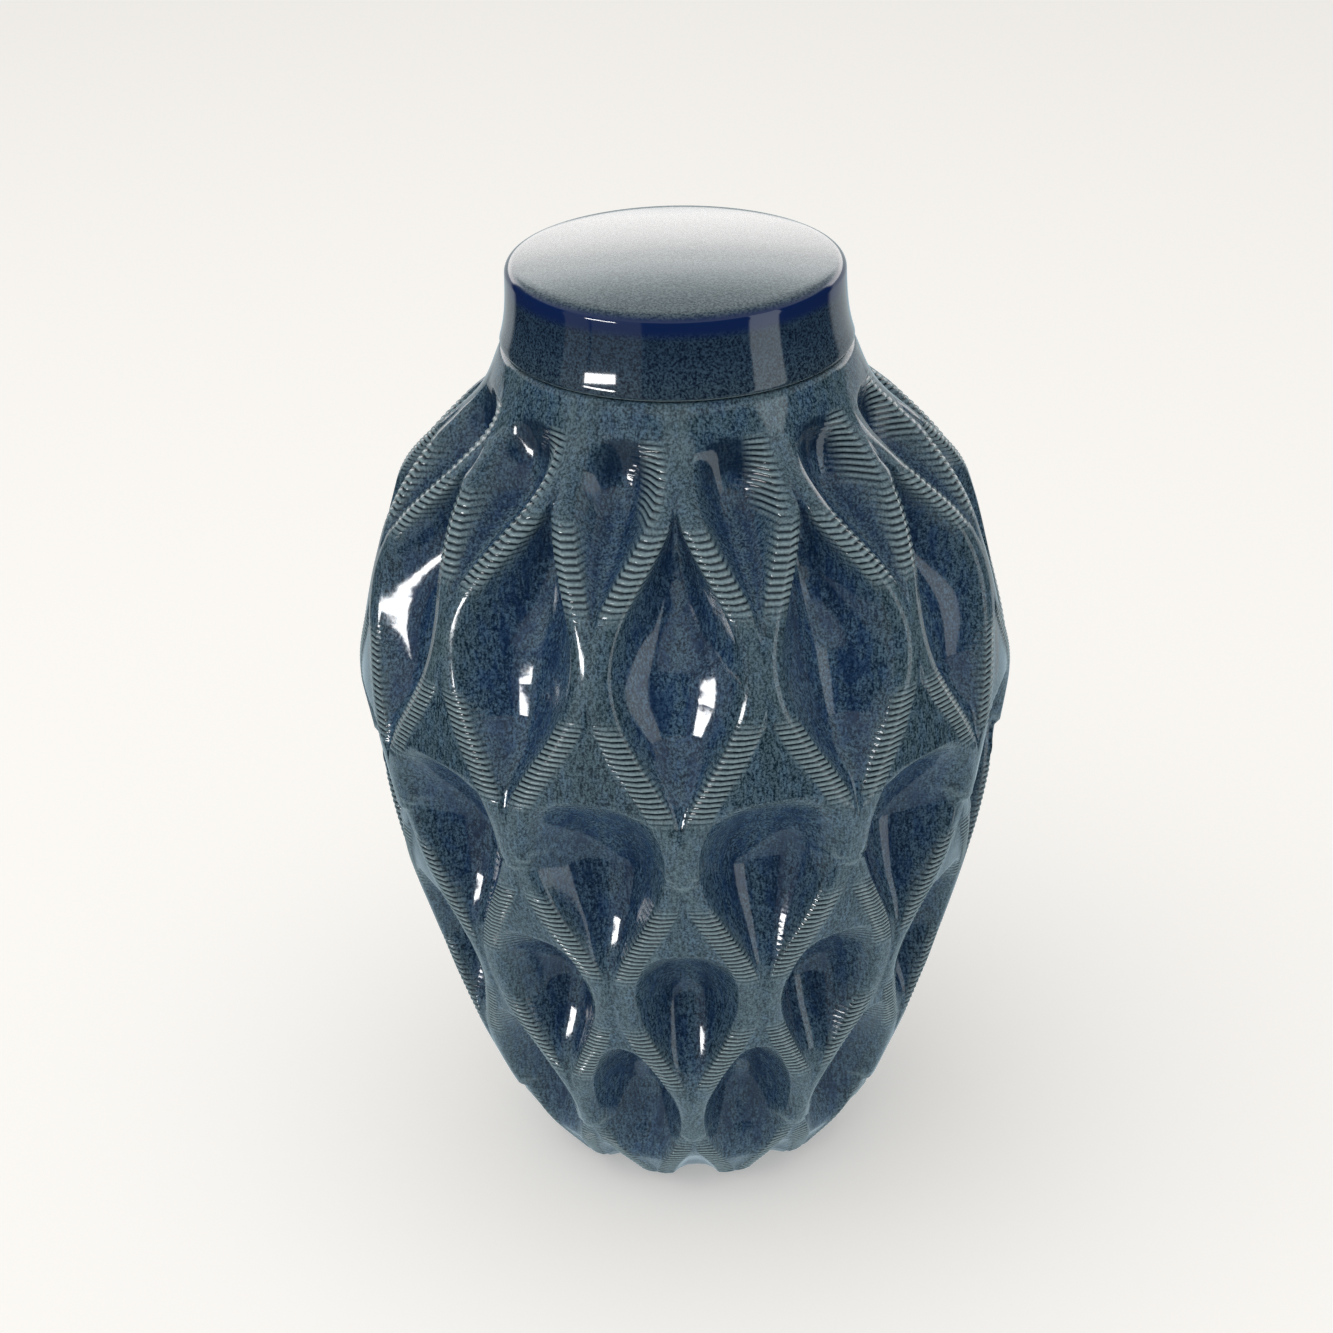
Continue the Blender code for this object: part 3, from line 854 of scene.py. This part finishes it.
def lid_glaze(glaze, mottle):
    """Grey top, a smooth band round its edge, and a dark skirt with a pale lower edge."""
    material, tree, shader = new_material("lid_glaze")
    vector = object_coordinates(tree)
    x, y, height = split_vector(tree, vector)
    radius = math_node(tree, "SQRT", x * x + y * y)
    grain = use_group(tree, mottle, {"Vector": vector, "Streak Share": 0.15, "Contrast": 1.0})
    grains = grain["Mottle"]
    specks = grain["Specks"]
    on_top = smooth_step(height, 279.2 * MM, 281.2 * MM)
    on_skirt = 1.0 - smooth_step(height, 273.5 * MM, 277.0 * MM)
    low = 1.0 - smooth_step(height, 259.0 * MM, 272.0 * MM)
    top = blend_colour(tree, grains, glaze.lid_top_dark, glaze.lid_top_light)
    skirt_light = blend_colour(tree, low, glaze.pool_light, glaze.land_light)
    skirt = blend_colour(tree, grains * (0.24 + low * 0.3), glaze.skirt_dark, skirt_light)
    colour = blend_colour(tree, on_skirt, glaze.band, skirt)
    colour = blend_colour(tree, on_top, colour, top)
    colour = blend_colour(tree, specks * on_top * 0.5, colour, glaze.speck)
    edge = (1.0 - smooth_step(height, 258.15 * MM, 258.75 * MM)) * smooth_step(radius, 47.0 * MM, 48.2 * MM)
    colour = blend_colour(tree, edge * 0.8, colour, glaze.crest)
    plug(tree, colour, shader.inputs["Base Color"])
    plug(tree, 0.06 + grains * 0.05 * on_top + edge * 0.2, shader.inputs["Roughness"])
    ripple = shader_noise(tree, vector, 120.0, 2.0, 0.5)
    plug(tree, bump(tree, ripple, 0.06, 0.3 * MM), shader.inputs["Normal"])
    return material


# Floor, light and camera.


def make_floor(stage):
    """Pale floor. In the glaze it ends near the urn and shows the dark studio beyond."""
    mesh = bpy.data.meshes.new("floor")
    work = bmesh.new()
    bmesh.ops.create_circle(work, cap_ends=True, cap_tris=True, segments=96, radius=6.0)
    work.to_mesh(mesh)
    work.free()
    floor = bpy.data.objects.new("floor", mesh)
    bpy.context.scene.collection.objects.link(floor)
    material, tree, shader = new_material("pale_floor")
    shader.inputs["Base Color"].default_value = stage.floor
    shader.inputs["Roughness"].default_value = 0.6
    shader.inputs["Specular IOR Level"].default_value = 0.0
    shader.inputs["Emission Color"].default_value = stage.floor
    shader.inputs["Emission Strength"].default_value = 0.42
    x, y, _ = split_vector(tree, object_coordinates(tree))
    glossy = results(tree, add_node(tree, "ShaderNodeLightPath"))["Is Glossy Ray"]
    in_front = math_node(tree, "LESS_THAN", y, -FLOOR_REACH)
    beside = math_node(tree, "GREATER_THAN", x * x, FLOOR_REACH**2)
    past_edge = clamped(in_front + beside)
    clear = add_node(tree, "ShaderNodeBsdfTransparent").outputs[0]
    pale = add_node(tree, "ShaderNodeEmission", {"Color": stage.reflection}).outputs[0]
    in_glaze = add_node(tree, "ShaderNodeMixShader", {0: past_edge, 1: pale, 2: clear}).outputs[0]
    seen = add_node(tree, "ShaderNodeMixShader", {0: glossy, 1: shader.outputs[0], 2: in_glaze}).outputs[0]
    plug(tree, seen, tree.nodes["Material Output"].inputs["Surface"])
    mesh.materials.append(material)


def make_world(stage):
    """Pale to the camera, even as light, and a dark studio with pale panels in the glaze."""
    world = bpy.data.worlds.new("studio")
    bpy.context.scene.world = world
    world.use_nodes = True
    tree = world.node_tree
    background = tree.nodes["Background"]
    background.location = (3200, 0)
    tree.nodes["World Output"].location = (3500, 0)
    direction = add_node(tree, "ShaderNodeTexCoord").outputs["Generated"]
    x, y, z = split_vector(tree, direction)
    azimuth = math_node(tree, "ARCTAN2", x, y * -1.0) * (180 / math.pi)
    elevation = math_node(tree, "ARCSINE", z) * (180 / math.pi)

    def between(value, low, high, edge):
        """1 between low and high, 0 outside, with soft edges this wide."""
        return smooth_step(value, low, low + edge) - smooth_step(value, high - edge, high)

    left_panel = between(azimuth, *LEFT_PANEL, 1.5) - between(azimuth, *LEFT_PANEL_GAP, 0.8)
    right_panel = between(azimuth, *RIGHT_PANEL, 1.5)
    ceiling = smooth_step(elevation, *CEILING_EDGE)
    panels = (left_panel * LEFT_PANEL_LEVEL + right_panel * RIGHT_PANEL_LEVEL) * (1.0 - ceiling)
    behind = smooth_step(math_node(tree, "ABSOLUTE", azimuth + BACK_TURN), *BACK_EDGE)
    back = behind * smooth_step(elevation, 4.0, 10.0) * (1.0 - smooth_step(elevation, 15.0, 31.0))
    low_back = behind * (1.0 - smooth_step(elevation, 4.0, 10.0))
    overhead = 1.0 - smooth_step(elevation, 40.0, 60.0) * 0.5
    edge = (1.0 - smooth_step(elevation, 26.0, 46.0)) * 0.28
    studio = DARK_LEVEL + panels + ceiling * (overhead * CEILING_LEVEL + edge)
    studio = studio + back * BACK_LEVEL + low_back * LOW_BACK_LEVEL
    ray = results(tree, add_node(tree, "ShaderNodeLightPath"))
    glossy = ray["Is Glossy Ray"]
    camera = ray["Is Camera Ray"]
    level = blend(tree, glossy, 0.50, studio)
    level = blend(tree, camera, level, 1.0)
    reflected = blend_colour(tree, clamped(back), (0.90, 0.985, 1.0, 1.0), (1.0, 0.965, 0.945, 1.0))
    light = blend_colour(tree, glossy, (1.0, 0.985, 0.965, 1.0), reflected)
    light = blend_colour(tree, camera, light, stage.backdrop)
    plug(tree, light, background.inputs["Color"])
    plug(tree, level, background.inputs["Strength"])


def soft_light(name, place_at, size, power):
    data = bpy.data.lights.new(name, "AREA")
    data.shape = "RECTANGLE"
    data.size, data.size_y = size
    data.energy = power
    light = bpy.data.objects.new(name, data)
    bpy.context.scene.collection.objects.link(light)
    light.location = place_at
    light.rotation_euler = (Vector((0, 0, 0.15)) - light.location).to_track_quat("-Z", "Y").to_euler()
    light.visible_camera = False
    return light


def make_camera():
    """Camera above the urn and a little to the right of its front."""
    data = bpy.data.cameras.new("camera")
    data.sensor_width = 36.0
    data.lens = CAMERA_LENS
    data.shift_x = CAMERA_SHIFT
    camera = bpy.data.objects.new("camera", data)
    bpy.context.scene.collection.objects.link(camera)
    turn = math.radians(CAMERA_TURN)
    camera.location = Matrix.Rotation(turn, 3, "Z") @ Vector(CAMERA_PLACE)
    camera.rotation_euler = (math.radians(90 - CAMERA_TILT), 0.0, turn)
    bpy.context.scene.camera = camera


# Settings.


def length(name, description, default):
    return bpy.props.FloatProperty(
        name=name, description=description, default=default, min=0.0, precision=5, unit="LENGTH"
    )


def count(name, description, default, low, high):
    return bpy.props.IntProperty(name=name, description=description, default=default, min=low, max=high)


def colour(name, description, default):
    return bpy.props.FloatVectorProperty(
        name=name, description=description, default=(*default, 1.0), size=4, min=0.0, max=1.0, subtype="COLOR"
    )


class UrnSizes(bpy.types.PropertyGroup):
    """Sizes of the fine relief, on the form that the solids fix"""

    layer_height: length("Layer height", "Height of one layer cut across the ridges", 1.5 * MM)
    layer_depth: length("Layer depth", "Depth of the cut between two layers", 0.65 * MM)
    land_depth: length("Land depth", "How far the plain lands lie below the crests", 0.9 * MM)
    lip_width: length("Lip width", "Distance from a crest to the land beside it", 4.8 * MM)
    tongue_step: length("Tongue step", "Step down at the tip of a tongue", 1.3 * MM)
    full_width: length("Full width", "Half width at which a hollow has its full depth", 14.0 * MM)
    steps_per_gap: count("Steps per gap", "Columns of points from one ridge to the next", 10, 4, 16)
    plain_rows: count("Plain rows", "One in this many is kept of the rows outside the layers", 4, 1, 20)
    lid_steps: count("Lid steps", "Steps of the lid round its axis", 192, 24, 512)


class UrnGlaze(bpy.types.PropertyGroup):
    """Colours of the glaze"""

    land_light: colour("Land light", "Light grains on the lands and shoulder", (0.098, 0.168, 0.222))
    land_green: colour("Land green", "Greener light grains in patches", (0.100, 0.168, 0.200))
    land_dark: colour("Land dark", "Dark ground between the grains", (0.006, 0.020, 0.034))
    pool_light: colour("Pool light", "Light grains where the glaze pools", (0.115, 0.225, 0.355))
    pool_dark: colour("Pool dark", "Ground where the glaze pools", (0.005, 0.018, 0.045))
    run: colour("Run", "Runs of deep blue where the glaze pools", (0.010, 0.042, 0.135))
    # Deep glaze on the sides of the hollows, also used as painted shade there.
    wall: colour("Wall", "Deep glaze on the sides of the hollows", (0.004, 0.017, 0.050))
    crest: colour("Crest", "Thin glaze over edges and layers", (0.270, 0.375, 0.410))
    cut: colour("Cut", "Glaze in the cuts between the layers", (0.004, 0.012, 0.022))
    speck: colour("Speck", "Dark specks in the glaze", (0.003, 0.010, 0.020))
    band: colour("Band", "Smooth band round the lid's edge", (0.005, 0.018, 0.085))
    skirt_dark: colour("Skirt dark", "Ground of the lid's skirt", (0.003, 0.010, 0.028))
    lid_top_light: colour("Lid top light", "Light grains on the lid's top", (0.130, 0.175, 0.195))
    lid_top_dark: colour("Lid top dark", "Ground of the lid's top", (0.016, 0.034, 0.050))


class UrnStage(bpy.types.PropertyGroup):
    """Floor, light and camera"""

    floor: colour("Floor", "Pale floor", (0.80, 0.785, 0.76))
    reflection: colour("Reflection", "The floor as it shows in the glaze", (0.52, 0.66, 0.73))
    backdrop: colour("Backdrop", "What the camera sees beyond the floor", (0.86, 0.82, 0.79))
    key_power: bpy.props.FloatProperty(
        name="Main light", description="Power of the softbox at the left", default=5.2, min=0.0, unit="POWER"
    )
    fill_power: bpy.props.FloatProperty(
        name="Top light", description="Power of the wide light above", default=16.0, min=0.0, unit="POWER"
    )


# Operators.


class BodyOperator(bpy.types.Operator):
    """Makes the carved body with its layered ridges"""

    bl_idname = "urn.make_body"
    bl_label = "Make Body"

    def execute(self, context):
        sizes = context.scene.urn_sizes
        groups = shared_group("Glaze Mottle"), shared_group("Glaze Break")
        material = body_glaze(context.scene.urn_glaze, sizes, *groups)
        mesh, names = profile_mesh(sizes)
        body = bpy.data.objects.new("carved_body", mesh)
        context.scene.collection.objects.link(body)
        modifier = body.modifiers.new("Carve", "NODES")
        modifier.node_group = body_tree(names)
        set_inputs(
            modifier,
            {
                "Rows": len(mesh.vertices),
                "Steps Per Gap": sizes.steps_per_gap,
                "Full Width": sizes.full_width,
                "Land Depth": sizes.land_depth,
                "Lip Width": sizes.lip_width,
                "Tongue Step": sizes.tongue_step,
                "Layer Depth": sizes.layer_depth,
                "Glaze": material,
            },
        )
        as_plain_mesh(body)
        point_outwards(body.data)
        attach(body, "root")
        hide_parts("urn_body")
        return {"FINISHED"}


class LidOperator(bpy.types.Operator):
    """Makes the cap lid"""

    bl_idname = "urn.make_lid"
    bl_label = "Make Lid"

    def execute(self, context):
        profile = lid_profile()
        mesh = bpy.data.meshes.new("lid_profile")
        mesh.from_pydata([(r, 0.0, z) for r, z in profile], [(i, i + 1) for i in range(len(profile) - 1)], [])
        lid = bpy.data.objects.new("cap_lid", mesh)
        context.scene.collection.objects.link(lid)
        screw = lid.modifiers.new("Turn", "SCREW")
        screw.steps = screw.render_steps = context.scene.urn_sizes.lid_steps
        screw.use_merge_vertices = True
        screw.merge_threshold = 0.01 * MM
        as_plain_mesh(lid)
        point_outwards(lid.data)
        lid.data.shade_smooth()
        lid.data.materials.append(lid_glaze(context.scene.urn_glaze, shared_group("Glaze Mottle")))
        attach(lid, "root")
        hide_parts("lid")
        return {"FINISHED"}


class StageOperator(bpy.types.Operator):
    """Makes the floor, the studio light and the camera"""

    bl_idname = "urn.make_stage"
    bl_label = "Make Stage"

    def execute(self, context):
        stage = context.scene.urn_stage
        make_floor(stage)
        make_world(stage)
        main_light = soft_light("main_light", (-0.90, -0.81, 0.27), (0.44, 0.12), stage.key_power)
        main_light.visible_diffuse = False
        top_light = soft_light("top_light", (-0.3, -0.3, 1.8), (2.2, 2.2), stage.fill_power)
        top_light.visible_glossy = False
        make_camera()
        context.scene.view_settings.view_transform = "Standard"
        return {"FINISHED"}


class UrnPanel(bpy.types.Panel):
    """Lists the urn's settings and steps"""

    bl_idname = "VIEW3D_PT_urn"
    bl_label = "Urn"
    bl_space_type = "VIEW_3D"
    bl_region_type = "UI"
    bl_category = "Urn"

    def draw(self, context):
        for settings in (context.scene.urn_sizes, context.scene.urn_glaze, context.scene.urn_stage):
            box = self.layout.box()
            for name in settings.bl_rna.properties.keys():
                if name not in ("rna_type", "name"):
                    box.prop(settings, name)
        for operator in OPERATORS:
            self.layout.operator(operator.bl_idname)


OPERATORS = (BodyOperator, LidOperator, StageOperator)
CLASSES = (UrnSizes, UrnGlaze, UrnStage, *OPERATORS, UrnPanel)


def register():
    for cls in CLASSES:
        bpy.utils.register_class(cls)
    bpy.types.Scene.urn_sizes = bpy.props.PointerProperty(type=UrnSizes)
    bpy.types.Scene.urn_glaze = bpy.props.PointerProperty(type=UrnGlaze)
    bpy.types.Scene.urn_stage = bpy.props.PointerProperty(type=UrnStage)


def unregister():
    del bpy.types.Scene.urn_sizes, bpy.types.Scene.urn_glaze, bpy.types.Scene.urn_stage
    for cls in reversed(CLASSES):
        bpy.utils.unregister_class(cls)


def main():
    register()
    bpy.ops.urn.make_body()
    bpy.ops.urn.make_lid()
    bpy.ops.urn.make_stage()


if __name__ == "__main__":
    main()
